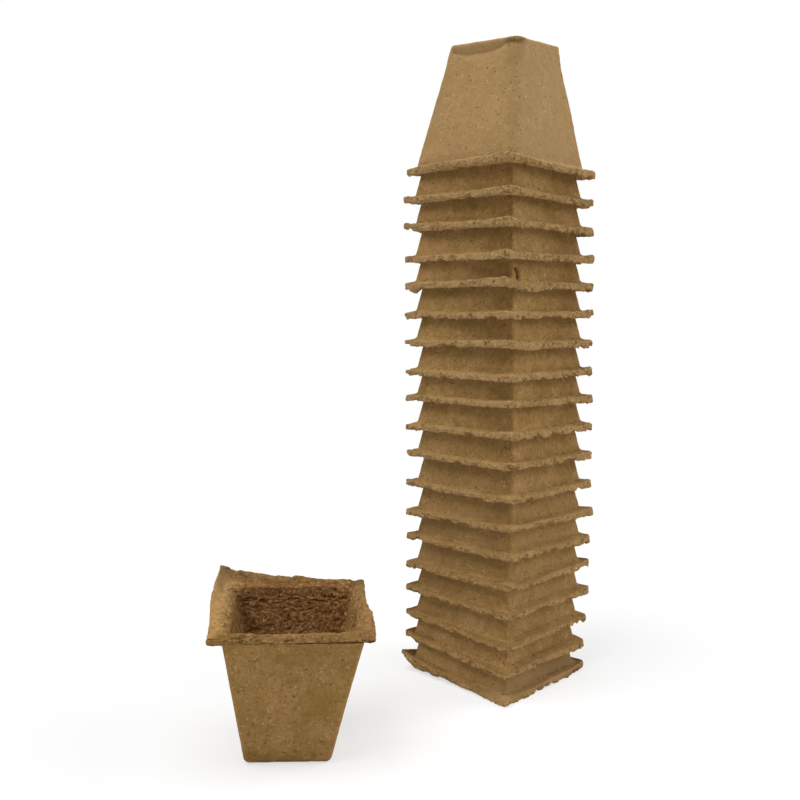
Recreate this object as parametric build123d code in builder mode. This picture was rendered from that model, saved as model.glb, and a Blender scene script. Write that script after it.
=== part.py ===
from build123d import *
from math import atan2, cos, degrees, radians, sin, tan
import os

# A set of square moulded-fibre plant pots, all from one mould, in millimetres.
# A stack of pots stands mouth down, each pushed over the one below, and one loose pot
# stands mouth up beside it. The origin is the middle of the stack's foot, with +Z up.

# The flange round the mouth
flange_reach = 4.5  # how far the flange stands out past the walls where they meet it
rim_thickness = 4.0
rim_corner_radius = 3.5

# The tapered body, measured outside
pot_height = 73.0  # from the base to the front of the flange
neck_width = 71.0  # across the walls where they meet the flange
base_width = 44.0  # across the base, to where its rounded edges would meet
edge_radius = 2.4  # the corners and base edges, the same inside as outside so that pots nest
neck_cove_radius = 3.0  # the wall flares into the back of the flange

# The moulded wall
wall = 2.7  # square to the slanting wall
floor_thickness = 2.4

# The stack: the gap left between two nested walls differs a little from pot to pot
pots_in_stack = 19
nest_gap = 0.55  # square to the slanting wall
nest_gap_shares = [
    1.05, 0.35, 1.0, 0.5, 1.1, 0.5, 1.05, 1.5, 1.1,
    1.0, 0.5, 1.25, 0.75, 1.15, 0.45, 1.05, 0.8, 0.95,
]

# The loose pot's place on the table, from the axis of the stack, and its turn in degrees
loose_pot_x = -153.0
loose_pot_y = 6.5
loose_pot_turn = -38.0

overrun = 5.0  # how far the hollow is carried past the mouth that it opens

# What follows from the sizes above
rim_width = neck_width + 2 * flange_reach  # across the flange, from side to side
neck_height = pot_height - rim_thickness
draft_angle = degrees(atan2((neck_width - base_width) / 2, neck_height))
wall_across = wall / cos(radians(draft_angle))  # the wall measured level
floor_rise = floor_thickness * tan(radians(draft_angle))  # how far the wall leans out by the floor
hollow_floor_width = base_width + 2 * (floor_rise - wall_across)

os.makedirs("parts", exist_ok=True)

# The hollow of a pot, from its floor to past its mouth
floor_plane = Plane.XY.offset(floor_thickness)
with BuildPart() as hollow:
    with BuildSketch(floor_plane):
        Rectangle(hollow_floor_width, hollow_floor_width)
    extrude(amount=pot_height - floor_thickness + overrun)
    draft(hollow.faces().filter_by(Axis.Z, reverse=True), floor_plane, -draft_angle)
    fillet(hollow.edges() - hollow.edges().group_by(Axis.Z)[-1], edge_radius)

# One pot as it leaves the mould, standing on its base
with BuildPart() as moulded_pot:
    with BuildSketch():
        Rectangle(base_width, base_width)
    extrude(amount=pot_height)
    draft(moulded_pot.faces().filter_by(Axis.Z, reverse=True), Plane.XY, -draft_angle)
    fillet(moulded_pot.edges() - moulded_pot.edges().group_by(Axis.Z)[-1], edge_radius)
    with BuildSketch(Plane.XY.offset(neck_height)):
        RectangleRounded(rim_width, rim_width, rim_corner_radius)
    extrude(amount=rim_thickness)
    flange_back = moulded_pot.faces().filter_by(Axis.Z).sort_by(Axis.Z)[1]
    fillet(flange_back.inner_wires()[0].edges(), neck_cove_radius)
    add(hollow.part, mode=Mode.SUBTRACT)

# The stack, from the lowest pot up. Each pot sits as much higher than the one below as the
# slant of the walls needs to hold one wall and the gap beside it.
foot_height = 0.0
for number in range(1, pots_in_stack + 1):
    if number > 1:
        gap = nest_gap * nest_gap_shares[(number - 2) % len(nest_gap_shares)]
        foot_height += (wall + gap) / sin(radians(draft_angle))
    with BuildPart() as stack_pot:
        with Locations(Location((0, 0, foot_height + pot_height), (180, 0, 0))):
            add(moulded_pot.part)
    stack_pot.part.label = f"stack_pot_{number:02d}"
    export_step(stack_pot.part, f"parts/{stack_pot.part.label}.step")

# The loose pot
with BuildPart() as loose_pot:
    with Locations(Location((loose_pot_x, loose_pot_y, 0), (0, 0, loose_pot_turn))):
        add(moulded_pot.part)
loose_pot.part.label = "loose_pot"
export_step(loose_pot.part, "parts/loose_pot.step")
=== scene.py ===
from math import cos, radians, sin, tan

import bpy
import numpy as np
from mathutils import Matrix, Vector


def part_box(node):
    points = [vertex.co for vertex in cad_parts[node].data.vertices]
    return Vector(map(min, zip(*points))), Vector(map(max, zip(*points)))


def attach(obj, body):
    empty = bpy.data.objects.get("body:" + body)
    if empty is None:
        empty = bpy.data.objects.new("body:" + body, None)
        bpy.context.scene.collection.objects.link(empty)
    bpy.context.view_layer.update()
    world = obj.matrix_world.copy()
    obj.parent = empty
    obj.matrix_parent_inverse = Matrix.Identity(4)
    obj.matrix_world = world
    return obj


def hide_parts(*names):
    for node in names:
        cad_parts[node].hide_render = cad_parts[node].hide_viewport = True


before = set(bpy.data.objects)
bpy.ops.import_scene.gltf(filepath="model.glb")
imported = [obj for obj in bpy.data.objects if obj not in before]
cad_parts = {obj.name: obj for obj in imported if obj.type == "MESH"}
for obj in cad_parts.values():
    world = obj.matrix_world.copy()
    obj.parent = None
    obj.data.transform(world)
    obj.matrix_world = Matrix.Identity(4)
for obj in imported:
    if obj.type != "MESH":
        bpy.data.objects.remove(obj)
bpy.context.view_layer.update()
millimetre = 0.001
print("frame loaded:", len(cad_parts), "pots")

# The camera stands where the photograph was taken: place in millimetres, angles in degrees
cameraForm = {"place": (-439.5, -361.7, 219.6), "yaw": 44.56, "down": 5.33,
              "lens": 42.53, "sensor": 36.0, "clipStart": 0.01}
cameraRight = np.array([cos(radians(cameraForm["yaw"])), -sin(radians(cameraForm["yaw"]))])

cloudForm = {"slopes": 256, "gain": 1.5}


class Values(dict):  # a dictionary whose values can be read with a dot
    __getattr__ = dict.__getitem__


# Smooth noise: every corner of a grid of cells has a random slope, and a point blends the slopes
# of the eight corners round it, each weighted by a curve that is level at both ends.
def cloud(points, size, seed):
    count = cloudForm["slopes"]
    random = np.random.default_rng(seed)
    slopes = random.normal(size=(count, 3))
    slopes /= np.linalg.norm(slopes, axis=1, keepdims=True)
    shuffled = random.permutation(count)
    scaled = points / size
    cell = np.floor(scaled).astype(int)
    within = scaled - cell
    eased = within ** 3 * (within * (within * 6 - 15) + 10)
    total = np.zeros(len(points))
    for corner in np.ndindex(2, 2, 2):
        key = (cell + corner) % count
        pair = shuffled[(shuffled[key[:, 0]] + key[:, 1]) % count]
        index = shuffled[(pair + key[:, 2]) % count]
        weight = np.where(corner, eased, 1 - eased).prod(axis=1)
        total += weight * (slopes[index] * (within - corner)).sum(axis=1)
    return cloudForm["gain"] * total


# The same noise times a zone's weight, worked out only where that weight is above zero
def zoneCloud(weight, points, size, seed):
    values = np.zeros(len(points))
    held = weight > 0
    values[held] = weight[held] * cloud(points[held], size, seed)
    return values


def ramp(values, low, high):  # from 0 at low to 1 at high, level at both ends
    share = np.clip((values - low) / (high - low), 0, 1)
    return share * share * (3 - 2 * share)


def flecked(points, size, seed, low, high):  # noise of a size, from 0 where it is low to 1 where high
    return ramp(cloud(points, size, seed), low, high)


def hump(values, middle, reach):  # 1 at the middle, falling away on both sides as a bell
    return np.exp(-((values - middle) / reach) ** 2)


def band(values, stops):  # 0, 1, 1 and 0 at four stops, with straight lines between them
    return np.interp(values, stops, [0, 1, 1, 0])


# One pot as it leaves the mould, standing on its base, in millimetres. The last three change the
# radius of its upright corners: of its walls, of its walls at the near corner, and of its rim.
potForm = Values({
    "baseHalf": 22.0,
    "neckHalf": 35.5,
    "rimHalf": 40.0,
    "height": 73.0,
    "flange": 4.0,
    "wallAcross": 2.75,
    "floor": 2.4,
    "edgeRound": 2.6,
    "neckCove": 2.2,
    "backRound": 0.8,
    "frontRound": 0.6,
    "mouthRound": 3.0,
    "wallSoftness": 0.0,
    "nearSoftness": 0.0,
    "rimSharpness": 0.0,
})

# What changes along the section, at its stops: the middle of the base, then the two ends of each
# arc in turn, which are the base edge, neck cove, back and front of the rim, mouth and floor cove,
# and the middle of the floor.
alongSection = {
    "cornerRadius": [0.2, 0.7, 2.4, 2.4, 4.4, 1.8, 1.4, 1.4, 1.8, 4.6, 2.4, 2.4, 0.7, 0.2],
    "flangeShare": [0, 0, 0, 0.05, 0.35, 1, 1, 1, 1, 0.3, 0.1, 0, 0, 0],
    "inside": [0, 0, 0, 0, 0, 0, 0, 0, 0.05, 0.2, 0.8, 1, 1, 1],
    "coarse": [0, 0, 0, 0, 0.1, 0.6, 1, 1, 0.8, 1, 1, 1, 1, 1],
    "wall": [0, 0, 1, 1, 0, 0, 0, 0, 0, 0, 0, 0, 0, 0],
    "rim": [0, 0, 0, 0, 0, 1, 1, 1, 1, 0, 0, 0, 0, 0],
    "rimEdge": [0, 0, 0, 0, 0.3, 0.8, 1, 1, 0.8, 0.3, 0, 0, 0, 0],
    "back": [0, 0, 0, 0, 0.5, 1, 0.8, 0, 0, 0, 0, 0, 0, 0],
    "front": [0, 0, 0, 0, 0, 0, 0.1, 0.8, 1, 0.6, 0.1, 0, 0, 0],
    "mouth": [0, 0, 0, 0, 0, 0, 0, 0, 0, 0.6, 1, 0.2, 0, 0],
}
creaseStop = 3.7  # where the wall turns into the back of the flange
brimStop = 9.5  # where the flange turns down into the mouth
lineReach = 0.4  # how far a line along either of them goes to each side


# The section of a pot: half-width and height from the middle of the base, up the wall, round the
# flange and down the hollow. Straight runs are joined by arcs that turn steadily from one run's
# direction to the next, and their steps crowd towards the rim by a power. Also how far each point
# is from where it would be if the arcs were sharp corners.
def potSection(form, runSteps, arcSteps, crowding):
    neck = form.height - form.flange
    slope = (form.neckHalf - form.baseHalf) / neck
    innerHalf = form.baseHalf - form.wallAcross
    corners = np.array([
        (0, 0),
        (form.baseHalf, 0),
        (form.neckHalf, neck),
        (form.rimHalf, neck),
        (form.rimHalf, form.height),
        (innerHalf + slope * form.height, form.height),
        (innerHalf + slope * form.floor, form.floor),
        (0, form.floor),
    ])
    rounds = [form[name] for name in
              ("edgeRound", "neckCove", "backRound", "frontRound", "mouthRound", "edgeRound")]
    rimRun = 3
    points, stops, squaring, last = [], [], [], corners[0]
    for number, (before, corner, after) in enumerate(zip(corners, corners[1:], corners[2:])):
        back = (before - corner) / np.linalg.norm(before - corner)
        on = (after - corner) / np.linalg.norm(after - corner)
        half = np.arccos(back @ on) / 2
        reach = rounds[number] / np.tan(half)
        centre = corner + (back + on) / np.linalg.norm(back + on) * rounds[number] / np.sin(half)
        start, end = corner + back * reach, corner + on * reach
        share = np.linspace(0, 1, runSteps[number], endpoint=False)[:, None]
        power = crowding[number]
        share = 1 - (1 - share) ** power if number < rimRun else share ** power
        points.append(last + share * (start - last))
        stops.append(2 * number + share[:, 0])
        squaring.append(np.zeros((len(share), 2)))
        turn = np.pi - 2 * half
        share = np.linspace(0, 1, arcSteps[number], endpoint=False)[:, None]
        points.append(centre + (np.sin((1 - share) * turn) * (start - centre)
                                + np.sin(share * turn) * (end - centre)) / np.sin(turn))
        stops.append(2 * number + 1 + share[:, 0])
        sharp = np.where(share < 0.5, start + 2 * share * (corner - start),
                         corner + (2 * share - 1) * (end - corner))
        squaring.append(sharp - points[-1])
        last = end
    share = np.linspace(0, 1, runSteps[-1])[:, None]
    points.append(last + share * (corners[-1] - last))
    stops.append(2 * len(rounds) + share[:, 0])
    squaring.append(np.zeros((len(share), 2)))
    return np.concatenate(points), np.concatenate(stops), np.concatenate(squaring)


# Once round a square with rounded corners: for each column the place of its corner's middle, from
# -1 to 1 both ways, and the direction that faces out there.
def squareLoop(sideSteps, cornerSteps):
    along = np.linspace(-1, 1, sideSteps, endpoint=False)
    turn = np.linspace(0, np.pi / 2, cornerSteps, endpoint=False)
    middle = np.concatenate([np.stack([np.ones(sideSteps), along], 1), np.ones((cornerSteps, 2))])
    facing = np.concatenate([np.tile([1.0, 0.0], (sideSteps, 1)),
                             np.stack([np.cos(turn), np.sin(turn)], 1)])
    quarter = np.array([[0.0, 1.0], [-1.0, 0.0]])
    turns = [np.linalg.matrix_power(quarter, k) for k in range(4)]
    return (np.concatenate([middle @ t for t in turns]), np.concatenate([facing @ t for t in turns]))


# A pot's surface is its section carried round the square: half-width less corner radius times the
# corner's middle, plus corner radius times the outward direction, at the section's height.
def potSurface(form, runSteps, arcSteps, sideSteps, cornerSteps, crowding):
    section, stops, squaring = potSection(form, runSteps, arcSteps, crowding)
    middle, facing = squareLoop(sideSteps, cornerSteps)
    along = {name: np.interp(stops, range(len(values)), values)
             for name, values in alongSection.items()}
    along["stop"] = stops
    along["squareOut"], along["squareUp"] = squaring.T
    along["crease"] = np.clip(1 - np.abs(stops - creaseStop) / lineReach, 0, 1)
    along["brimLine"] = np.clip(1 - np.abs(stops - brimStop) / lineReach, 0, 1)
    near = (1 - middle[:, 0]) * (1 + middle[:, 1]) / 4
    radius = along["cornerRadius"] + form.wallSoftness * along["wall"]
    radius = radius - form.rimSharpness * along["rim"]
    radius = radius[:, None] + form.nearSoftness * along["wall"][:, None] * near[None]
    radius = np.minimum(radius, section[:, :1])
    slant = np.gradient(section, axis=0)
    slant /= np.linalg.norm(slant, axis=1, keepdims=True)
    columns = len(middle)
    level = (section[:, :1] - radius)[..., None] * middle[None] + radius[..., None] * facing[None]
    height = np.repeat(section[:, 1, None], columns, axis=1)
    outLevel = slant[:, 1, None, None] * facing[None]
    outUp = np.repeat(-slant[:, 0, None], columns, axis=1)
    skin = Values({name: np.repeat(values[:, None], columns, axis=1).ravel()
                      for name, values in along.items()})
    skin["place"] = np.concatenate([level, height[..., None]], axis=2).reshape(-1, 3)
    skin["outward"] = np.concatenate([outLevel, outUp[..., None]], axis=2).reshape(-1, 3)
    skin["facing"] = np.tile(facing, (len(section), 1))
    skin["outside"] = (1 - skin.coarse) * (1 - skin.rimEdge)
    skin["shape"] = (len(section), columns)
    return skin


# The skin of a grid that closes round its columns, with its first and last rows drawn to a point
def gridMesh(name, points, shape, attributes):
    rows, columns = shape
    grid = points.reshape(rows, columns, 3)
    inner = grid[1:-1].reshape(-1, 3)
    vertices = np.concatenate([inner, grid[0].mean(axis=0)[None], grid[-1].mean(axis=0)[None]])
    index = np.arange(len(inner)).reshape(rows - 2, columns)
    beside = np.roll(index, -1, axis=1)
    quads = np.stack([index[:-1], beside[:-1], beside[1:], index[1:]], axis=2).reshape(-1, 4)
    first = np.stack([np.full(columns, len(inner)), beside[0], index[0]], axis=1)
    last = np.stack([np.full(columns, len(inner) + 1), index[-1], beside[-1]], axis=1)
    mesh = bpy.data.meshes.new(name)
    mesh.from_pydata((vertices * millimetre).tolist(), [],
                     quads.tolist() + first.tolist() + last.tolist())
    mesh.polygons.foreach_set("use_smooth", np.ones(len(mesh.polygons), dtype=bool))
    for label, values in attributes.items():
        spread = values.reshape(rows, columns)
        held = np.concatenate([spread[1:-1].ravel(), spread[0, :1], spread[-1, :1]])
        layer = mesh.attributes.new(label, "FLOAT", "POINT")
        layer.data.foreach_set("value", held.astype(np.float32))
    mesh.update()
    pot = bpy.data.objects.new(name, mesh)
    bpy.context.scene.collection.objects.link(pot)
    return pot


# How rough the pulp is and the size of each roughness, in millimetres. A share gives the values of
# a noise at which a pit, chip or break begins and is whole, and a shade how dark it is.
pulpForm = Values({
    "wallSwell": 0.10, "wallSwellSize": 24.0,
    "wallRipple": 0.05, "wallRippleSize": 6.0,
    "dent": 0.16, "dentSize": 3.6, "bareReach": 6.0,
    "rimLump": 0.42, "rimLumpSize": 4.0,
    "rimGrain": 0.5, "rimGrainSize": 1.5,
    "pit": 0.6, "pitSize": 1.6, "pitShare": (0.4, 0.7), "pitShade": 0.5,
    "insideLump": 0.5, "insideLumpSize": 4.2,
    "insideGrain": 0.4, "insideGrainSize": 1.9, "insideStretch": (0.7, 0.7, 1.3),
    "outline": 0.9, "outlineSize": 16.0, "outlineStretch": (1.0, 1.0, 0.1),
    "thinning": 0.7, "thickness": 0.6, "thicknessSize": 9.0,
    "chip": 1.5, "chipSize": 6.5, "chipShare": (0.12, 0.34), "chipStretch": (1.0, 1.0, 0.3),
    "nib": 1.5, "nibSize": 2.4, "nibFrom": 0.2,
    "breakSize": 2.8, "breakShare": (0.1, 0.4), "creaseShade": 0.45,
    "patchSpread": 100.0,  # how far apart the pots' patches of noise lie
})


# The pulp's roughness: along the outward direction, the sum of noises that each belong to a zone.
# The inside of a pot is only ever hollowed, so that it stays clear of the pot that it sits on.
# Also how dark each point is painted in its pits and along the crease behind the flange, as painted
# shade in these recesses.
def roughen(skin, pulp, bareFrom, seed):
    def layer(name, weight, place, draw):  # one noise of the pulp, times its zone's weight
        return zoneCloud(pulp[name] * weight, place, pulp[name + "Size"], seed + draw)

    def whole(name, weight, place, draw):  # the same at full strength, wherever its zone is
        return zoneCloud(np.sign(weight), place, pulp[name + "Size"], seed + draw)

    spot = skin.place + pulp.patchSpread * np.random.default_rng(seed).random(3)
    outside, rimEdge, crease = skin.outside, skin.rimEdge, skin.crease
    front, back = skin.front, skin.back
    inside = skin.coarse * (1 - rimEdge)
    bare = outside * ramp(skin.place[:, 2], bareFrom, bareFrom + pulp.bareReach)
    depth = (layer("wallSwell", outside, spot, 1) + layer("wallRipple", outside, spot, 2)
             + layer("dent", bare, spot, 9) + layer("rimLump", rimEdge, spot, 3)
             + layer("rimGrain", rimEdge, spot, 4))
    laid = spot * pulp.insideStretch
    hollow = layer("insideLump", inside, laid, 5) + layer("insideGrain", inside, laid, 6)
    pitted = np.maximum(rimEdge, crease)
    pits = pitted * ramp(whole("pit", pitted, spot, 10), *pulp.pitShare)
    depth += -np.abs(hollow) - pulp.pit * pits
    points = skin.place + depth[:, None] * skin.outward
    flat = spot * pulp.outlineStretch
    points[:, :2] += layer("outline", rimEdge, flat, 7)[:, None] * skin.facing
    upright = spot * pulp.chipStretch
    chips = ramp(whole("chip", front, upright, 8), *pulp.chipShare)
    nibs = np.maximum(whole("nib", front, upright, 11) - pulp.nibFrom, 0)
    points[:, 2] += front * (pulp.nib * nibs - pulp.chip * chips)
    points[:, 2] += pulp.thinning * back * rimEdge + layer("thickness", back, flat, 12)
    broken = ramp(whole("break", crease, spot, 13), *pulp.breakShare)
    # painted shade in the pits and along the broken crease
    dark = np.maximum(pulp.pitShade * pits, pulp.creaseShade * crease * broken)
    return points, dark


# Where a point lies between the four corners of a pot: a corner's weight is the product of how
# near the point is to it both ways, and the power keeps a curl close to its corner.
def cornerWeights(level, half, power):
    u, v = np.clip(level / half, -1, 1).T
    return np.stack([(1 - u) * (1 - v), (1 + u) * (1 - v),
                     (1 + u) * (1 + v), (1 - u) * (1 + v)], axis=1) ** power / 4 ** power


# The stack, for each pot from the lowest up, in millimetres and degrees. Corners are in the order
# near, right, far and left as the camera sees them, whose left and right faces look along -x and -y.
stackLists = {
    # how far the flange's corners lift, and its right side sags
    "lifts": [
        (0.0, 0.3, 1.0, 4.5), (-1.9, -3.2, 0.8, 4.2), (-1.6, -2.0, 0.4, 2.6), (-0.9, -2.1, -0.5, 1.3),
        (0.9, -0.4, 0.6, -0.1), (-0.2, -2.7, -0.8, 1.0), (1.0, -1.4, 0.9, -0.2),
        (-0.7, -0.7, 1.2, 0.7), (0.4, -1.9, -0.4, 0.2), (-0.3, -2.0, 0.5, -1.0),
        (0.5, -1.6, -0.9, -0.3), (-1.2, -0.3, 0.7, -0.5), (0.5, -1.9, 0.3, -1.1),
        (-0.6, -0.3, -0.6, -0.9), (0.1, -2.0, 0.8, -0.5), (-1.4, -0.8, 0.5, -0.1),
        (-0.4, -2.1, 1.0, 2.2), (0.3, -2.0, -0.4, 1.6), (1.5, -1.2, 0.6, 1.3),
    ],
    "sags": [0, 0, 0, 0, 1.5, 0, 0, 0, 0, 0.6, 0, 0, 1.8, 0, 2.6, 0, 0, 0, 0],
    # how far the pot and its rim are turned
    "turns": [3.0, 3.0, 0.95, 0.9, 1.15, 1.8, 2.1, 2.5, 2.8, 2.9, 3.0, 3.0, 3.0, 3.0, 3.0, 3.0, 3.1,
              3.2, 3.4],
    "twists": [0.0, 0.0, 1.1, 1.7, 0.6, 2.8, 1.2, 0.0, 0.4, 0.2, -0.5, 0.3, -1.3, -1.5, -2.2, -1.9,
               -0.7, 0.3, -0.4],
    # how far the pot stands to the camera's right, and its walls more than its rim
    "sways": [0.0, 0.0, 0.0, 0.2, 0.2, 0.5, 0.5, 0.5, 0.4, 0.5, 0.1, 0.1, -0.3, -0.5, -0.9, -0.9,
              -1.2, -1.4, -1.0],
    "wallShifts": [-2.2, -1.9, -0.6] + 15 * [0] + [0.9],
    # how far the flange's back rises at its corners, more at the right one, and sinks elsewhere
    "peaks": [0.0, 0.2, 0.2, 0.3, 0.4, 0.5, 0.5, 0.6, 0.8, 0.8, 1.0, 1.0, 1.6, 1.6, 2.2, 2.4, 2.0,
              1.0, 1.0],
    "rightPeaks": [0.0, 0.8, 0.8] + 10 * [1.6] + 6 * [1.4],
    "thinnings": [1.4, 1.1, 1.1, 1.0, 0.9, 0.8, 0.7, 0.6, 0.4, 0.3, 0.3, 0.3] + 7 * [0],
    # how far the flange's corners reach out, and its left one drops
    "nearReaches": [2.8] + 18 * [0],
    "rightReaches": [-2.4, -2.6, -1.2, 0.8, 0, 0, 1.6] + 11 * [0] + [1.4],
    "leftReaches": [3.0] + 17 * [0] + [-2.6],
    "leftDrops": 18 * [0] + [2.0],
    # how smooth the flange's back is, and how much painted shade darkens it where it faces up to the
    # light
    "calmBacks": [0.9, 0.9, 0.9, 0.85, 0.8, 0.7, 0.6, 0.4, 0.2] + 10 * [0],
    "backShades": [0.34, 0.4, 0.4, 0.36, 0.3, 0.22, 0.15, 0.1, 0.05] + 10 * [0],
    # how pale the rim, the outer edge of its back and the walls are
    "rimTones": [0.5, 0.1, 0.2, 0.3, 0.4, 0.6, 0.7, 0.8, 0.9] + 10 * [1],
    "edgeTones": [0.4, 0.6, 0.6, 0.6, 0.6, 0.5, 0.4, 0.3, 0.2] + 10 * [0],
    "wallTones": [0.4, 0.4, 0.45, 0.5, 0.5, 0.5, 0.45, 0.35, 0.25] + 7 * [0.2] + [0.15, 0.1, 1.0],
    # painted shade on the wall where the pot above keeps the light off it
    "hiddenShades": [0, 0.06, 0.06, 0.06, 0.08, 0.1, 0.12, 0.13, 0.14, 0.16, 0.2, 0.21, 0.23]
                    + 5 * [0.25] + [0],
}

# What the pots of the stack share. A side is the shares of the half-width between which something
# comes in towards a face, a stop is a place along the section, and crumbs are a size, seed and range.
stackForm = Values({
    "seedStep": 100,
    "bareFrom": 54.0,
    "liftPower": 1.5, "tipPower": 6,
    "peakShares": (1.0, 0.2, 0.2, 0.1), "tipThickness": 0.7,
    "sagPlace": (-0.45, 0.4), "sagSide": (0.6, 0.95),
    "wave": 0.5, "waveSize": 30.0, "waveStep": 10.0,
    "calmStops": (3, 3.6, 5.5, 6),
    # where painted shade darkens the flange's back, and the share of it that the right side gets
    "backStops": (3.8, 4.6, 5.6, 6.1), "backSide": (0.6, 0.8), "backRightShare": 0.7,
    # dark crumbs along the rim's lower edge: partly torn pulp, partly painted shade under the edge
    "crumbShade": 0.5, "crumbs": (3.0, 19, -0.1, 0.3), "crumbStep": 50.0, "crumbStop": (7.4, 0.45),
    # the heights over which painted shade comes in on the covered wall
    "hiddenRise": (9.0, 16.0),
    # painted light on the rims of the left face and painted shade on those of the right face
    "leftTone": 0.1, "rightTone": -0.3, "rimSide": (0.8, 0.95),
    # painted shade on the walls of the right face; the lowest pot's get painted light instead
    "rightWallTone": -0.15, "wallSide": (0.4, 0.8),
    "edgeStop": (6.3, 0.5),
})

# The lowest flange also curls at its corners, is ragged, and is dark by its right corner, and the
# right wall above it is painted lighter, as painted light where the pot above shades it
lowestForm = Values({
    "curls": (0.0, 1.2, 0.5, 4.6), "curlPower": 4,
    "ragged": 1.0, "raggedNoise": (8.0, 17),
    "shade": 0.7, "shadePlace": (0.7, 0.24), "shadeSide": (0.8, 0.97),
    "shadeFrom": (5.9, 6.4), "shadeTo": (8.2, 8.6),
    "rightWallTone": 0.6,
})

# The top pot is bent, and dented by a crease across its left face, which is given as depths below
# the base at shares of the face's width, with painted shade in it and on the brow, and a corner
# blotch
topForm = Values({
    "bareFrom": -10.0,
    "mould": {"wallSoftness": 0.4, "nearSoftness": 6.0},
    "lean": 0.9,
    "bend": 1.6, "bendLength": 17.0,
    "baseTurn": 3.5, "hollowTurnFrom": 50.0,
    "baseLifts": (-1.2, 2.3, 0.0, 0.6),
    "rightReach": 1.3, "rightReachFrom": 20.0,
    "leftReach": 1.5, "leftReachFrom": 58.0,
    "bulge": 1.1, "bulgeRise": (38.0, 20.0),
    "creaseShares": [0.0, 0.28, 0.58, 0.7, 0.775, 0.833, 0.89, 1.0, 1.3],
    "creaseDepths": [3.9, 6.9, 7.0, 6.5, 5.5, 3.8, 2.6, 2.7, 1.2],
    "creaseFrom": (0.0, 0.1), "creaseTo": (1.05, 1.3), "faceSide": (0.72, 0.95),
    "creaseSink": 0.7, "creaseReach": 1.8,
    "creaseShade": 0.3, "creaseShadeOver": 0.3, "creaseShadeReach": 0.7,
    "brow": 1.1, "browShade": 0.2, "browFrom": (0.0, 0.2), "browTo": (0.5, 0.9),
    "cornerShade": 0.35, "cornerShare": (0.97, 0.13), "cornerDrop": (2.5, 2.2),
    "mottle": (2.0, 18, -0.1, 0.3),
})

# The tear in the right face of one pot: its two ends as distances in from the near corner and up
# from the mouth, how wide and deep it is, and the shares of its length where it comes in and ends
tearForm = Values({
    "pot": 15,
    "low": (7.0, 2.6), "high": (5.6, 10.6),
    "width": 2.0, "depth": 2.0, "gape": 1.7,
    "comesIn": (-0.15, 0.1), "ends": (0.85, 1.1),
})

# A torn bit that hangs from the front of the same pot's flange, by its left corner
shredForm = Values({"place": (0.74, 0.12), "side": (0.7, 0.95), "hang": 3.0, "dark": 0.55})

stackSteps = {"runSteps": [4, 28, 5, 5, 8, 10, 3], "arcSteps": [4, 7, 4, 4, 7, 3],
              "sideSteps": 108, "cornerSteps": 14, "crowding": [1.8] * 6}
topSteps = {"runSteps": [14, 64, 5, 5, 8, 8, 3], "arcSteps": [8, 7, 4, 4, 6, 3],
            "sideSteps": 108, "cornerSteps": 14, "crowding": [1.0] * 6}
stackSurface = potSurface(potForm, **stackSteps)
topSurface = potSurface(Values(potForm, **topForm.mould), **topSteps)


# Above the crease the wall stands out more and more towards the base, as a straight slope, and below
# it the groove closes as half a bell. The share runs from 0 at the left corner to 1 at the near one,
# and on from there.
def topCrease(x, y, drop):
    form = topForm
    half = potForm.baseHalf
    share = np.clip(0.5 - y / (2 * half), 0, 1) + np.clip(0.5 + x / (2 * half), 0, 1)
    depth = np.interp(share, form.creaseShares, form.creaseDepths)
    onLeft = ramp(-x / half, *form.faceSide)
    onRight = ramp(-y / half, *form.faceSide) * (share > 1)
    onFace = np.maximum(onLeft, onRight) * ramp(share, *form.creaseFrom)
    onFace *= 1 - ramp(share, *form.creaseTo)
    above = np.clip(1 - drop / depth, 0, 1)
    groove = hump(np.maximum(drop - depth, 0), 0, form.creaseReach)
    shift = (form.brow + form.creaseSink) * above - form.creaseSink * groove
    onBrow = ramp(above, *form.browFrom) * (1 - ramp(above, *form.browTo))
    inCrease = hump(drop, depth - form.creaseShadeOver, form.creaseShadeReach)
    byCorner = hump(share, *form.cornerShare) * hump(drop, *form.cornerDrop)
    byCorner *= flecked(np.stack([x, y, drop], axis=1), *form.mottle)
    # painted shade on the brow and in the crease, and a dark mottled blotch by the near corner
    shade = form.browShade * onBrow + form.creaseShade * inCrease + form.cornerShade * byCorner
    return onFace * shift, onFace * shade


# The top pot leans, bends and turns more and more towards its base: how far each point goes right,
# turns and rises, and how far the flange tilts with the lean
def topBend(skin, level, rise):
    form = topForm
    height, inside = potForm.height, skin.inside
    slope = tan(radians(form.lean))
    corners = cornerWeights(level, potForm.baseHalf, 1)
    right, left = corners[:, 1], corners[:, 3]
    high = ramp(rise, form.hollowTurnFrom, height)
    bend = ramp(rise, height - form.bendLength, height + form.bendLength)
    bulge = hump(rise, *form.bulgeRise) * (1 - inside)
    sway = slope * (rise - height / 2) + 2 * form.bend * bend
    sway += form.rightReach * right * ramp(rise, form.rightReachFrom, height)
    sway -= form.leftReach * left * ramp(rise, form.leftReachFrom, height)
    sway += form.bulge * right * bulge
    turn = form.baseTurn * ((1 - inside) * rise / height + inside * high)
    return sway, turn, high * (corners @ form.baseLifts), -slope * (level @ cameraRight)


# A tear is a slit along the line between its ends, widest at both of them: how deep it goes at a
# point falls away as a bell with the distance from that line.
def tear(x, y, rise):
    form = tearForm
    across = x + potForm.neckHalf
    (lowAcross, lowUp), (highAcross, highUp) = form.low, form.high
    share = (rise - lowUp) / (highUp - lowUp)
    middle = lowAcross + share * (highAcross - lowAcross)
    width = form.width * (1 + form.gape * (1 - 2 * np.clip(share, 0, 1)) ** 2) / 2
    onLine = ramp(share, *form.comesIn) * (1 - ramp(share, *form.ends)) * (y < 0)
    return onLine * hump(across, middle, width)


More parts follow.
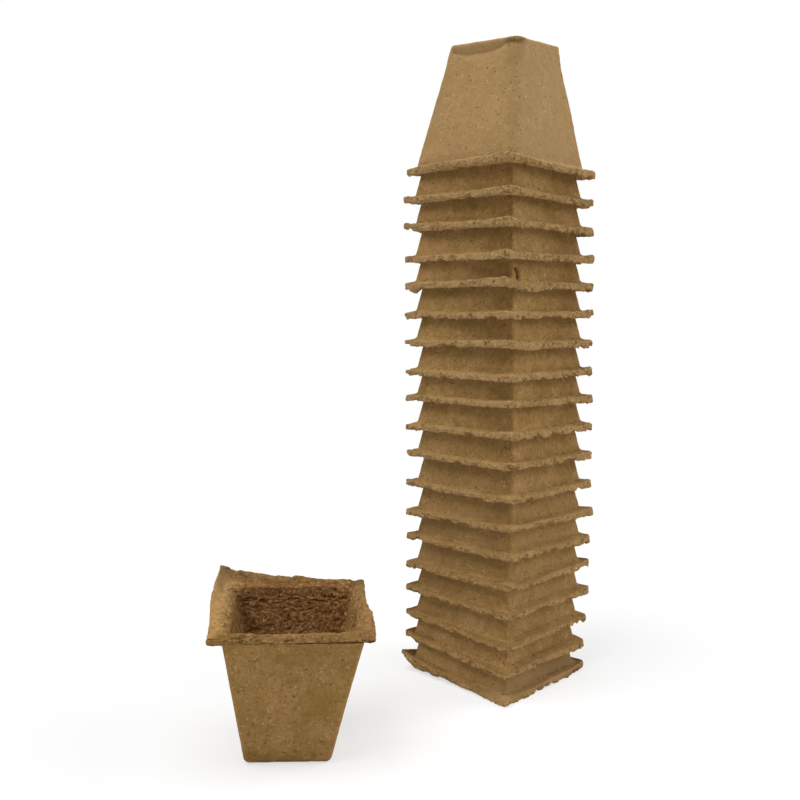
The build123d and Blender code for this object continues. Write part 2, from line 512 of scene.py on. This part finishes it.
# A flange's lift: its corners' weighted lifts, the peaks of its back less its thinning elsewhere, its
# sag and a slow wave
def stackLifts(number, own, skin, level, tips, reached):
    form = stackForm
    half = potForm.rimHalf
    u, v = level.T / half
    back = skin.back
    lifts = cornerWeights(level, half, form.liftPower) @ own.lifts
    if number == 1:
        lifts += cornerWeights(level, half, lowestForm.curlPower) @ lowestForm.curls
    elsewhere = 1 - form.tipThickness * tips.sum(axis=1)
    lifts -= own.thinnings * elsewhere * back * skin.rimEdge
    lifts += own.peaks * (tips @ form.peakShares) * back
    lifts += own.rightPeaks * tips[:, 1] * back
    lifts -= own.leftDrops * tips[:, 3]
    lifts -= own.sags * hump(u, *form.sagPlace) * ramp(-v, *form.sagSide)
    flat = np.column_stack([reached, np.full(len(level), form.waveStep * number)])
    return lifts + form.wave * cloud(flat, form.waveSize, number)


# How dark a stack pot is: the strongest of its pits, crumbs and painted shade on back and hidden wall
def stackShades(number, own, skin, points, rise, u, v, dark):
    form = stackForm
    stop = skin.stop
    # dark crumbs along the rim's lower edge, partly painted shade under it
    crumbs = flecked(points + form.crumbStep * number, *form.crumbs)
    crumbs *= hump(stop, *form.crumbStop)
    onRight = form.backRightShare
    # painted shade on the flange's back, less of it on the right side
    onBack = band(stop, form.backStops)
    onBack *= onRight + (1 - onRight) * ramp(-u, *form.backSide)
    # painted shade on the wall that the pot above covers
    hidden = ramp(rise, *form.hiddenRise) * skin.outside
    shades = [dark, form.crumbShade * crumbs, own.backShades * onBack, own.hiddenShades * hidden]
    if number == 1:
        patch = hump(u, *lowestForm.shadePlace)
        patch *= ramp(-v, *lowestForm.shadeSide) * ramp(stop, *lowestForm.shadeFrom)
        shades.append(lowestForm.shade * patch * (1 - ramp(stop, *lowestForm.shadeTo)))
    return np.maximum.reduce(shades)


# How pale a stack pot is: its walls' tone, which blends into its rim's where the pulp is coarse
def stackTones(number, own, skin, u, v, top):
    form = stackForm
    side = form.rimSide
    # painted light on the left face's rims and painted shade on the right face's
    rimTone = 1 + form.leftTone * ramp(-u, *side) + form.rightTone * ramp(-v, *side)
    rimTone = own.rimTones * rimTone
    # painted shade on the right face's walls, or painted light on the lowest pot's
    rightWallTone = (lowestForm if number == 1 else form).rightWallTone
    toRight = 0 if top else ramp(-v, *form.wallSide)
    wallTone = own.wallTones + rightWallTone * toRight
    pale = wallTone + (rimTone - wallTone) * skin.coarse
    return np.maximum(pale, own.edgeTones * hump(skin.stop, *form.edgeStop))


# A stack pot stands mouth down. Its flange reaches out at its corners, lifts, and turns about the
# pot's axis by its own twist, all of which blend into the wall along the section.
def stackPot(number):
    node = f"stack_pot_{number:02d}"
    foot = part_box(node)[0].z / millimetre
    own = Values({name: values[number - 1] for name, values in stackLists.items()})
    top = number == len(stackLists["lifts"])
    skin = topSurface if top else stackSurface
    calm = 1 - own.calmBacks * band(skin.stop, stackForm.calmStops)
    skin = Values(skin, rimEdge=skin.rimEdge * calm, coarse=skin.coarse * calm)
    bareFrom = (topForm if top else stackForm).bareFrom
    points, dark = roughen(skin, pulpForm, bareFrom, stackForm.seedStep * number)
    x, y, rise = points[:, 0], -points[:, 1], potForm.height - points[:, 2]
    share, half = skin.flangeShare, potForm.rimHalf
    level = np.stack([x, y], axis=1)
    u, v = level.T / half
    if number == 1:
        ragged = cloud(np.stack([x, y, 0 * x], axis=1), *lowestForm.raggedNoise)
        ragged = lowestForm.ragged * ragged * skin.rimEdge / half
        x, y = x * (1 + ragged), y * (1 + ragged)
    tips = cornerWeights(level, half, stackForm.tipPower)
    reach = tips[:, [0, 1, 3]] @ [own.nearReaches, own.rightReaches, own.leftReaches]
    reach = 1 + share * reach / (half * 2 ** 0.5)
    x, y = x * reach, y * reach
    lifts = stackLifts(number, own, skin, level, tips, np.stack([x, y], axis=1))
    dark = stackShades(number, own, skin, points, rise, u, v, dark)
    if number == tearForm.pot:
        torn = tear(x, y, rise) * skin.outside
        y = y + tearForm.depth * torn
        hanging = hump(v, *shredForm.place) * ramp(-u, *shredForm.side) * skin.front
        lifts -= shredForm.hang * hanging
        # the tear is painted as dark as it is deep, as painted shade in the slit, and the hanging bit
        # darker
        dark = np.maximum.reduce([dark, torn, shredForm.dark * hanging])
    sway = own.sways + own.wallShifts * (1 - share)
    turn = np.full(len(x), own.turns)
    if top:
        shift, creased = topCrease(x, y, points[:, 2])
        pushed = shift * skin.outside
        x, y = x + pushed * skin.facing[:, 0], y - pushed * skin.facing[:, 1]
        dark = np.maximum(dark, creased * skin.outside)
        swayMore, turnMore, riseMore, tilt = topBend(skin, level, rise)
        sway, turn, rise, lifts = sway + swayMore, turn + turnMore, rise + riseMore, lifts + tilt
    rise = rise + share * lifts
    angle = np.radians(turn + (own.twists - turn) * share)
    x, y = x * np.cos(angle) - y * np.sin(angle), x * np.sin(angle) + y * np.cos(angle)
    placed = np.stack([x + sway * cameraRight[0], y + sway * cameraRight[1],
                       np.maximum(foot + rise, 0.0)], axis=1)
    pot = gridMesh(f"{node}_fibre", placed, skin.shape, {
        "inside": skin.inside, "coarse": skin.coarse, "dark": dark,
        "pale": stackTones(number, own, skin, u, v, top)})
    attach(pot, node)
    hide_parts(node)
    return pot


stackPots = [stackPot(number) for number in range(1, 1 + len(stackLists["lifts"]))]
print("stack made:", len(stackPots), "pots")


# The loose pot stands mouth up. Corners are in the order front left, front right, back right and
# back left as the camera sees them. A side, end or range is the shares of the half-width between
# which something comes in or ends. A place has a reach, and a noise a size, a seed and, for flecks,
# the values between which they come in.
looseForm = Values({
    "seed": 7000, "bareFrom": -10.0,
    "turn": -38.0,
    "mould": {"wallAcross": 4.2, "mouthRound": 6.5, "edgeRound": 4.0, "rimHalf": 39.2,
              "neckHalf": 34.5, "rimSharpness": 0.6},
    # its corners, the last of which curls and is drawn in
    "lifts": (-1.9, -4.7, 0.6, 3.6),
    "curls": (0.0, 0.0, 0.0, 8.6), "curlPower": 3,
    "drawIn": 0.035, "drawPower": 8,
    # its front sags, most of all right of the middle, and is thinned
    "sag": 2.0, "backSag": 0.35, "mouthSag": 2.4, "sagSide": (0.6, 0.9),
    "sagMiddle": 0.15, "sagEnd": (0.3, 0.9), "sagEndShare": 0.5,
    "thinning": 0.8, "thinRange": (-0.2, 0.2), "thinSide": (0.8, 0.95),
    # its back edge is sharp and has a fold
    "backEdge": 0.75, "backSlant": 0.8, "backSide": (0.0, 0.3), "backEnd": (0.6, 0.85),
    "fold": 1.3, "foldPlace": (0.1, 0.12), "foldSide": (0.7, 1.0),
    # its right edge has a step
    "step": (-0.7, 1.1), "stepRange": (0.04, 0.2), "stepSide": (0.85, 1.0), "stepEnd": (0.0, 0.35),
    # its left edge bows out and is less ragged
    "bow": 1.9, "bowPlace": (0.25, 0.5), "bowSide": (0.85, 1.0),
    "leftCalm": 0.6, "leftCalmSide": (0.8, 0.95),
    "wave": 0.4, "waveNoise": (28.0, 71), "waveHeight": 5.0,
    # its walls and base are shifted, and its base is twisted and drawn in
    "wallShift": 1.5, "baseShift": -3.0, "baseTwist": -4.5, "baseNarrowing": 0.045,
    # a painted shadow line runs under the right half of the front lip
    "crack": 0.95, "crackStop": 6.0, "crackWidth": 0.6, "crackCore": 1.4,
    "crackWander": 0.3, "crackNoise": (6.0, 73),
    "crackRange": (-0.25, 0.05), "crackSide": (0.6, 0.8),
    # gaps in the lip, painted dark as shade: small ones, and the places across, stops and reaches of
    # large ones
    "gap": 0.85, "gapDepth": 1.0, "smallGaps": (2.4, 74, 0.05, 0.3), "gapStop": (7.7, 0.7),
    "gapEnd": (0.0, 0.3), "gapSide": (0.75, 0.95),
    "gaps": [(-0.39, 7.6, 0.07, 0.5), (-0.17, 7.4, 0.05, 0.7), (-0.58, 7.2, 0.03, 0.6),
             (0.86, 7.4, 0.05, 0.5)],
    # blemishes on the flange: their places and their reaches
    "blemish": 0.95, "blemishFrom": 55.0, "blemishEven": 0.4,
    "blemishes": [(0.89, 0.40, 0.05, 0.07), (0.80, -0.1, 0.03, 0.2), (0.12, 0.92, 0.16, 0.03),
                  (-0.30, 0.90, 0.12, 0.03), (0.55, 0.91, 0.10, 0.03)],
    # dark flecks and mottling, and painted shadow along the back of the brim
    "flecks": (2.4, 72, 0.1, 0.4), "stretch": (0.45, 1.0, 1.0),
    "wornFlecks": 0.5, "slopeFlecks": 0.75, "slopeFleckSide": (0.62, 0.75),
    "brimShade": 0.4, "brimEven": 0.4,
    "mottle": 0.55, "mottling": (5.0, 75, -0.05, 0.3), "mottleSide": (0.72, 0.85),
    # painted shade on the sides of the flange, the left slope and the walls
    "flangeStops": (4, 5, 9.4, 10.2), "lipSide": (0.75, 0.9), "flankSide": (0.74, 0.84),
    "frontShade": 0.36, "backShade": 0.21, "rightShade": 0.32, "leftShade": 0.14,
    "slopeShade": 0.28, "slopeSide": (0.5, 0.65), "slopeOuter": (0.82, 0.9), "slopeFrom": 40.0,
    "slopeEnd": (0.8, 0.95), "wallShade": 0.13,
    # its smooth left side, painted light on its left flange and curled corner, and painted light and
    # shade in its mouth
    "leftSmooth": 0.75, "smoothSide": (0.85, 0.97), "smoothEnd": (0.85, 1.0),
    "leftPale": 0.05, "paleEnd": (0.9, 1.0), "cornerPale": 1.8,
    "backTint": 0.9, "sideTint": 0.5, "tintSide": (-0.05, 0.25),
})
looseSteps = {"runSteps": [5, 26, 6, 7, 8, 80, 8], "arcSteps": [7, 9, 5, 5, 14, 6],
              "sideSteps": 104, "cornerSteps": 16, "crowding": [1, 1, 1, 1, 1, 1.5]}
loosePulp = Values(pulpForm, dent=0.10, insideLump=0.7, insideLumpSize=3.6, insideGrain=0.8,
                   insideGrainSize=1.5, insideStretch=(0.5, 0.5, 1.2), rimLump=0.4, rimGrain=0.35,
                   outline=0.5, nib=0.8, chip=0.8)


# How dark the painted shadow line under the lip is: by how near a point is to a stop that wanders a
# little
def looseShadowLine(skin, flat, u, v):
    form = looseForm
    wander = form.crackWander * cloud(flat, *form.crackNoise)
    away = np.abs(skin.stop - form.crackStop - wander)
    crack = np.clip(form.crackCore - away / form.crackWidth, 0, 1)
    return crack * ramp(u, *form.crackRange) * ramp(-v, *form.crackSide)


# How open the lip's gaps are: small ones where a noise is high, and a bell both ways for large ones
def looseGaps(skin, points, u, v):
    form = looseForm
    stop = skin.stop
    gap = flecked(points * form.stretch, *form.smallGaps)
    gap *= hump(stop, *form.gapStop) * (1 - ramp(u, *form.gapEnd))
    for across, place, reachAcross, reachStop in form.gaps:
        gap = np.maximum(gap, hump(u, across, reachAcross) * hump(stop, place, reachStop))
    return gap * ramp(-v, *form.gapSide)


# How dark the loose pot is elsewhere: the strongest of its blemishes, flecks, mottling and painted
# shades
def looseShades(skin, points, u, v, z, curled, toBack):
    form = looseForm
    coarse, mouth = skin.coarse, skin.mouth
    lip, flank, end = form.lipSide, form.flankSide, form.slopeEnd
    flecks = flecked(points, *form.flecks)
    flat = band(skin.stop, form.flangeStops) * (1 - curled)
    # painted shadow where the back of the flange turns down into the mouth, flecked
    shades = [form.brimShade * skin.brimLine * toBack * (form.brimEven + flecks)]
    even = form.blemishEven
    for across, along, reachAcross, reachAlong in form.blemishes:
        spot = hump(u, across, reachAcross) * hump(v, along, reachAlong) * coarse
        spot *= (even + (1 - even) * flecks) * (z > form.blemishFrom)
        shades.append(form.blemish * spot)
    mottled = flecked(points * form.stretch, *form.mottling)
    mottled *= ramp(v, *form.mottleSide)
    worn = np.maximum(ramp(u, *flank), ramp(v, *lip))
    along = 1 - ramp(abs(v), *end)
    fleckedSlope = ramp(-u, *form.slopeFleckSide) * along * mouth
    # painted shade on the left slope
    slope = ramp(-u, *form.slopeSide) * (1 - ramp(-u, *form.slopeOuter)) * along
    # painted shade on the flange's front, back and sides, and below on the walls
    sides = form.frontShade * ramp(-v, *lip) + form.backShade * ramp(v, *lip)
    sides = np.maximum.reduce([sides, form.rightShade * ramp(u, *flank),
                               form.leftShade * ramp(-u, *flank)])
    return np.maximum.reduce(shades + [
        form.mottle * mottled * flat,
        form.wornFlecks * worn * flat * flecks,
        form.slopeFlecks * fleckedSlope * flecks,
        form.slopeShade * slope * (z > form.slopeFrom) * coarse,
        sides * flat,
        form.wallShade * skin.outside,
    ])


# The rim of the loose pot is warped, and its base is drawn in, twisted and shifted against the rim
# in step with the depth below it
def loosePot():
    form = looseForm
    mould = Values(potForm, **form.mould)
    half = mould.rimHalf
    skin = potSurface(mould, **looseSteps)
    front, back, mouth, rimEdge = (skin[name] for name in ("front", "back", "mouth", "rimEdge"))
    toLeft = ramp(-skin.place[:, 0] / half, *form.leftCalmSide)
    calmed = Values(skin, rimEdge=rimEdge * (1 - form.leftCalm * toLeft))
    points, dark = roughen(calmed, loosePulp, form.bareFrom, form.seed)
    x, y, z = points.T
    share, coarse = skin.flangeShare, skin.coarse
    level = np.stack([x, y], axis=1)
    u, v = level.T / half
    curl = cornerWeights(level, half, form.curlPower)
    curled = curl[:, 3]

    # the mouth's edge is squared at the back, and the front lip is thinned
    toBack = ramp(v - form.backSlant * abs(u), *form.backSide)
    toBack *= 1 - ramp(abs(u), *form.backEnd)
    edge = form.backEdge * toBack * (mouth > 0)
    x = x + edge * skin.squareOut * skin.facing[:, 0]
    y = y + edge * skin.squareOut * skin.facing[:, 1]
    z = z + edge * skin.squareUp
    thin = ramp(u, *form.thinRange) * ramp(-v, *form.thinSide)
    z = z + form.thinning * back * thin

    # the rim lifts, folds, sags and waves
    lifts = cornerWeights(level, half, 1) @ form.lifts + curl @ form.curls
    lifts += form.fold * hump(u, *form.foldPlace) * ramp(v, *form.foldSide)
    ends = ramp(abs(u - form.sagMiddle), *form.sagEnd)
    slack = ramp(-v, *form.sagSide) * (1 - form.sagEndShare * ends)
    lifts -= form.sag * slack * np.maximum(front, form.backSag * back)
    flat = np.stack([x, y, np.full(len(x), form.waveHeight)], axis=1)
    z = z + share * (lifts + form.wave * cloud(flat, *form.waveNoise))
    z = z - form.mouthSag * slack * mouth

    # its edges are drawn in, stepped, bowed and gapped
    drawn = form.drawIn * share * cornerWeights(level, half, form.drawPower)[:, 3]
    x, y = x * (1 - drawn), y * (1 - drawn)
    atBack, atFront = form.step
    step = atBack + (atFront - atBack) * ramp(-v, *form.stepRange)
    step *= ramp(u, *form.stepSide) * ramp(1 - abs(v), *form.stepEnd)
    bow = ramp(-u, *form.bowSide) * hump(v, *form.bowPlace)
    x = x + step * rimEdge - form.bow * bow * rimEdge
    gap = looseGaps(skin, points, u, v)
    y = y + form.gapDepth * gap

    dark = np.maximum.reduce([
        dark,
        # painted shadow line under the right half of the front lip
        form.crack * looseShadowLine(skin, flat, u, v),
        # painted shade in the gaps of the lip
        form.gap * gap,
        looseShades(skin, points, u, v, z, curled, toBack),
    ])
    smooth = ramp(-u, *form.smoothSide) * (1 - ramp(abs(v), *form.smoothEnd))
    smooth = 1 - form.leftSmooth * smooth
    # painted shade at the back of the mouth and painted light at its sides
    mouthLightShade = form.backTint * toBack
    mouthLightShade -= form.sideTint * ramp(abs(u) - abs(v), *form.tintSide)
    inside = np.clip(skin.inside + mouthLightShade * mouth, 0, 1)
    # painted light on the left flange and the curled back-left corner
    pale = ramp(-u, *form.lipSide) * (1 - ramp(-v, *form.paleEnd))
    pale = np.maximum(form.leftPale * pale, form.cornerPale * curled) * coarse

    depth = np.clip(1 - z / mould.height, 0, 1)
    narrow = 1 - form.baseNarrowing * depth
    angle = radians(form.turn) + np.radians(form.baseTwist) * depth
    low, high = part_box("loose_pot")
    middle = (low + high) / 2 / millimetre
    shift = form.baseShift * depth + form.wallShift * (1 - share)
    placed = np.stack([
        middle.x + narrow * (x * np.cos(angle) - y * np.sin(angle)) + shift * cameraRight[0],
        middle.y + narrow * (x * np.sin(angle) + y * np.cos(angle)) + shift * cameraRight[1],
        np.maximum(z, 0.0),
    ], axis=1)
    pot = gridMesh("loose_pot_fibre", placed, skin.shape, {
        "inside": inside, "coarse": coarse * smooth, "dark": dark * smooth, "pale": pale})
    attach(pot, "loose_pot")
    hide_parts("loose_pot")
    return pot


loose = loosePot()
print("loose pot made")


# A socket whose sums and products add Math nodes
class Wire:
    def __init__(self, finish, socket):
        self.finish, self.socket = finish, socket

    def maths(self, operation, first, second):
        return self.finish.node("ShaderNodeMath", {"operation": operation}, {0: first, 1: second})

    def __add__(self, other):
        return self.maths("ADD", self, other)

    def __sub__(self, other):
        return self.maths("SUBTRACT", self, other)

    def __rsub__(self, other):
        return self.maths("SUBTRACT", other, self)

    def __mul__(self, other):
        return self.maths("MULTIPLY", self, other)

    def __gt__(self, other):
        return self.maths("GREATER_THAN", self, other)

    def __abs__(self):
        return self.maths("ABSOLUTE", self, 0.0)

    __radd__ = __add__
    __rmul__ = __mul__


class Finish:
    def __init__(self, name):
        self.material = bpy.data.materials.new(name)
        self.material.use_nodes = True
        self.tree = self.material.node_tree
        self.shader = self.tree.nodes["Principled BSDF"]
        self.output = self.tree.nodes["Material Output"]

    # A node of a type: its settings first, then the values or links of its sockets
    def node(self, kind, settings=None, sockets=None, output=0):
        made = self.tree.nodes.new(kind)
        for name, value in (settings or {}).items():
            setattr(made, name, value)
        self.plug(made, sockets or {})
        return Wire(self, made.outputs[output])

    def plug(self, made, sockets):
        for name, value in sockets.items():
            if isinstance(value, Wire):
                self.tree.links.new(value.socket, made.inputs[name])
            else:
                made.inputs[name].default_value = value

    def noise(self, place, size, detail=2.0, roughness=0.5, distortion=0.0, output=0):
        return self.node("ShaderNodeTexNoise", {}, {
            "Vector": place, "Scale": 1 / (size * millimetre), "Detail": detail,
            "Roughness": roughness, "Distortion": distortion}, output)

    def attribute(self, name):
        return self.node("ShaderNodeAttribute", {"attribute_name": name}, {}, "Fac")

    def smooth(self, value, low, high):
        return self.node("ShaderNodeMapRange", {"interpolation_type": "SMOOTHSTEP"}, {
            "Value": value, "From Min": low, "From Max": high})

    def mix(self, share, first, second):
        return self.node("ShaderNodeMix", {"data_type": "RGBA"}, {0: share, 6: first, 7: second}, 2)

    # Irregular rounds at the middles of some of the cells of a random pattern of a size: how far
    # each point is inside one, and a random value for each
    def spots(self, place, size, inner, outer):
        cells = {"Vector": place, "Scale": 1 / (size * millimetre)}
        reach = self.node("ShaderNodeTexVoronoi", {}, cells, "Distance")
        colour = self.node("ShaderNodeTexVoronoi", {}, cells, "Color")
        kind = self.node("ShaderNodeSeparateColor", {}, {0: colour}, 0)
        return 1 - self.smooth(reach, inner, outer), kind


def tone(red, green, blue):  # screen colour from 0 to 255, as the light that it stands for
    screen = np.array([red, green, blue]) / 255
    light = np.where(screen <= 0.04045, screen / 12.92, ((screen + 0.055) / 1.055) ** 2.4)
    return (*light.tolist(), 1.0)


# The pulp: colours as seen on a screen and noises with sizes in millimetres. A pattern comes in
# between its first two values, and its third is how strongly it shows.
fibreForm = Values({
    # The speck colour also stands for painted shade where the dark attribute gives it, and the hollow
    # colour is darker and redder partly as painted shade inside the pot
    "olive": tone(146, 114, 60), "pink": tone(172, 134, 83), "rim": tone(174, 143, 100),
    "hollow": tone(140, 95, 53), "speckAndShade": tone(74, 48, 22), "fleck": tone(204, 172, 120),
    "roughness": 0.8, "specular": 0.08, "bump": 0.9,
    "stray": 1.4, "strayNoise": {"size": 1.5, "roughness": 0.6},
    "noises": {
        "patches": {"size": 17.0},
        "mottle": {"size": 5.0, "roughness": 0.6},
        "grain": {"size": 2.2, "detail": 5.0, "roughness": 0.75},
        "smudge": {"size": 8.0, "detail": 3.0, "roughness": 0.6, "distortion": 1.0},
        "worn": {"size": 9.0, "detail": 1.0},
        "strand": {"size": 6.0, "detail": 1.0, "distortion": 0.8},
    },
    "bentNoises": {
        "crumb": {"size": 1.5, "detail": 3.0, "roughness": 0.7},
        "tangle": {"size": 3.4, "detail": 4.0, "roughness": 0.65, "distortion": 0.5},
    },
    "body": {"patches": 0.3, "mottle": 0.25, "grain": 0.45}, "bodyRange": (0.41, 0.59),
    "rimShare": 0.6, "hollowShare": 0.85,
    "smudge": (0.55, 0.72, 0.22), "worn": (0.56, 0.42, 0.7), "crowd": (0.38, 0.66, 0.2),
    "tangles": [("crumb", "speckAndShade", 0.47, 0.32, 0.7), ("crumb", "fleck", 0.54, 0.68, 0.6),
                ("tangle", "speckAndShade", 0.47, 0.3, 0.75), ("tangle", "fleck", 0.58, 0.74, 0.55)],
    "strandMiddle": 0.5, "strandRange": (0.004, 0.016), "strandBreaks": (0.5, 0.62),
    "strandPale": 0.45, "strandInside": 0.3,
    "specks": {"size": 2.6, "inner": 0.05, "outer": 0.34}, "speckFrom": 0.93, "speckDark": 0.6,
    "dust": {"size": 1.4, "inner": 0.12, "outer": 0.46}, "dustFrom": 0.92, "dustDark": 0.55,
    "fleckTo": 0.08, "fleckCrowd": 0.4, "fleckPale": 0.75,
    "relief": {"grain": 0.3, "mottle": 0.2}, "tornRelief": {"tangle": 1.1, "crumb": 0.7},
    "strandRelief": 0.08, "speckRelief": 0.25,
})


def fibreFinish():
    form = fibreForm
    finish = Finish("moulded_fibre_brown")
    place = finish.node("ShaderNodeTexCoord", {}, {}, "Object")
    inside, rough = finish.attribute("inside"), finish.attribute("coarse")
    stray = finish.noise(place, **form.strayNoise, output="Color")
    bent = finish.node("ShaderNodeVectorMath", {"operation": "MULTIPLY_ADD"},
                       {0: stray, 1: (form.stray * millimetre,) * 3, 2: place}, "Vector")
    noise = {name: finish.noise(place, **values) for name, values in form.noises.items()}
    for name, values in form.bentNoises.items():
        noise[name] = finish.noise(bent, **values)

    def total(shares):  # the sum of some noises, each times its share
        return sum(noise[name] * share for name, share in shares.items())

    def pattern(name, low, high, strength):
        return finish.smooth(noise[name], low, high) * strength

    body = finish.smooth(total(form.body), *form.bodyRange)
    body = finish.mix(body, form.olive, form.pink)
    # short pale fibres lie where a noise crosses its middle value, in broken stretches
    away = abs(noise["strand"] - form.strandMiddle)
    strands = 1 - finish.smooth(away, *form.strandRange)
    strands = strands * finish.smooth(noise["mottle"], *form.strandBreaks)
    # dark specks, more in some places than in others, and pale flecks
    crowd = pattern("patches", *form.crowd)
    spots, kind = finish.spots(bent, **form.specks)
    dust, dustKind = finish.spots(bent, **form.dust)
    specks = spots * (kind + crowd > form.speckFrom)
    dustSpecks = dust * (dustKind + crowd > form.dustFrom)
    flecks = dust * (form.fleckTo + crowd * form.fleckCrowd - dustKind > 0.0)
    # the torn rim and the screen side are a tangle of dark hollows and pale ends of fibre
    rough = rough * (1 - pattern("worn", *form.worn) * (1 - inside))
    tangles = [(rough * pattern(name, *values), colour) for name, colour, *values in form.tangles]
    for share, colour in [
            (pattern("smudge", *form.smudge), "speckAndShade"),
            # the pale attribute: the pots' own paler tones, with painted light and shade on some
            # sides and corners
            (finish.attribute("pale") * form.rimShare, "rim"),
            (inside * form.hollowShare, "hollow"),
            *tangles,
            (strands * (inside * form.strandInside + form.strandPale), "fleck"),
            (specks * form.speckDark, "speckAndShade"),
            (dustSpecks * form.dustDark, "speckAndShade"),
            (flecks * form.fleckPale, "fleck"),
            # the dark attribute: real dark marks and painted shade
            (finish.attribute("dark"), "speckAndShade")]:
        body = finish.mix(share, body, form[colour])
    relief = total(form.relief) + strands * form.strandRelief - specks * form.speckRelief
    normal = finish.node("ShaderNodeBump", {}, {
        "Strength": form.bump, "Distance": millimetre,
        "Height": relief + total(form.tornRelief) * rough}, "Normal")
    finish.plug(finish.shader, {
        "Base Color": body, "Roughness": form.roughness,
        "Specular IOR Level": form.specular, "Normal": normal})
    return finish.material


fibre = fibreFinish()
for pot in stackPots + [loose]:
    pot.data.materials.append(fibre)
print("finish made")


# The floor is a square of pale paper that fades out in a round into the white surroundings
floorForm = {"half": 1.5, "colour": (0.9, 0.9, 0.9, 1.0), "roughness": 0.9, "specular": 0.1,
             "fadeFrom": 0.3, "fadeTo": 0.75, "glow": 0.64}


def paperFloor():
    half = floorForm["half"]
    corners = [(-half, -half, 0), (half, -half, 0), (half, half, 0), (-half, half, 0)]
    mesh = bpy.data.meshes.new("paper_floor")
    mesh.from_pydata(corners, [], [(0, 1, 2, 3)])
    floor = bpy.data.objects.new("paper_floor", mesh)
    bpy.context.scene.collection.objects.link(floor)
    finish = Finish("pale_paper")
    place = finish.node("ShaderNodeTexCoord", {}, {}, "Object")
    reach = finish.node("ShaderNodeVectorMath", {"operation": "LENGTH"}, {0: place}, "Value")
    fade = finish.smooth(reach, floorForm["fadeFrom"], floorForm["fadeTo"])
    finish.plug(finish.shader, {
        "Base Color": floorForm["colour"], "Roughness": floorForm["roughness"],
        "Specular IOR Level": floorForm["specular"]})
    clear = finish.node("ShaderNodeBsdfTransparent")
    paper = Wire(finish, finish.shader.outputs[0])
    seen = finish.node("ShaderNodeLightPath", {}, {}, "Is Camera Ray")
    glow = finish.node("ShaderNodeEmission")
    paper = finish.node("ShaderNodeMixShader", {}, {0: seen * floorForm["glow"], 1: paper, 2: glow})
    both = finish.node("ShaderNodeMixShader", {}, {0: fade * seen, 1: paper, 2: clear})
    finish.plug(finish.output, {"Surface": both})
    mesh.materials.append(finish.material)


paperFloor()

# Soft studio light: broad lamps high to the left, to the right and overhead, far enough away that a
# lifted stack stays below them, in a pale room. Places in metres and powers in watts.
lampForm = {
    "aim": (-0.05, 0.0, 0.15),
    "size": 3.3,
    "lamps": {
        "left": {"place": (-2.09, 0.54, 3.78), "power": 122.0},
        "right": {"place": (3.04, -2.10, 2.55), "power": 122.0},
        "overhead": {"place": (-0.14, -0.12, 4.35), "power": 81.0},
    },
}
roomForm = {"colour": (1.0, 1.0, 1.0, 1.0), "light": 0.11, "shown": 1.0}


def softLamp(name, place, power):
    lamp = bpy.data.lights.new(name, "AREA")
    lamp.shape, lamp.size, lamp.energy = "DISK", lampForm["size"], power
    holder = bpy.data.objects.new(name, lamp)
    bpy.context.scene.collection.objects.link(holder)
    holder.location = place
    aim = holder.location.copy()
    aim.x, aim.y, aim.z = (to - at for to, at in zip(lampForm["aim"], place))
    holder.rotation_euler = aim.to_track_quat("-Z", "Y").to_euler()


for lampName, lampValues in lampForm["lamps"].items():
    softLamp(lampName, **lampValues)

# The room shows white to the camera and in gloss, and gives a plain level of light elsewhere
room = bpy.data.worlds.new("pale_room")
bpy.context.scene.world = room
room.use_nodes = True
roomNodes, roomLinks = room.node_tree.nodes, room.node_tree.links
roomNodes["Background"].inputs["Color"].default_value = roomForm["colour"]
path = roomNodes.new("ShaderNodeLightPath")
seen = roomNodes.new("ShaderNodeMath")
seen.operation = "MAXIMUM"
roomLinks.new(path.outputs["Is Camera Ray"], seen.inputs[0])
roomLinks.new(path.outputs["Is Glossy Ray"], seen.inputs[1])
level = roomNodes.new("ShaderNodeMapRange")
level.inputs["To Min"].default_value = roomForm["light"]
level.inputs["To Max"].default_value = roomForm["shown"]
roomLinks.new(seen.outputs[0], level.inputs["Value"])
roomLinks.new(level.outputs["Result"], roomNodes["Background"].inputs["Strength"])
print("floor, lamps and room made")

lens = bpy.data.cameras.new("camera")
lens.lens, lens.sensor_width = cameraForm["lens"], cameraForm["sensor"]
lens.clip_start = cameraForm["clipStart"]
camera = bpy.data.objects.new("camera", lens)
bpy.context.scene.collection.objects.link(camera)
camera.location = [value * millimetre for value in cameraForm["place"]]
camera.rotation_euler = (radians(90 - cameraForm["down"]), 0, -radians(cameraForm["yaw"]))
bpy.context.scene.camera = camera
bpy.context.scene.view_settings.view_transform = "Standard"
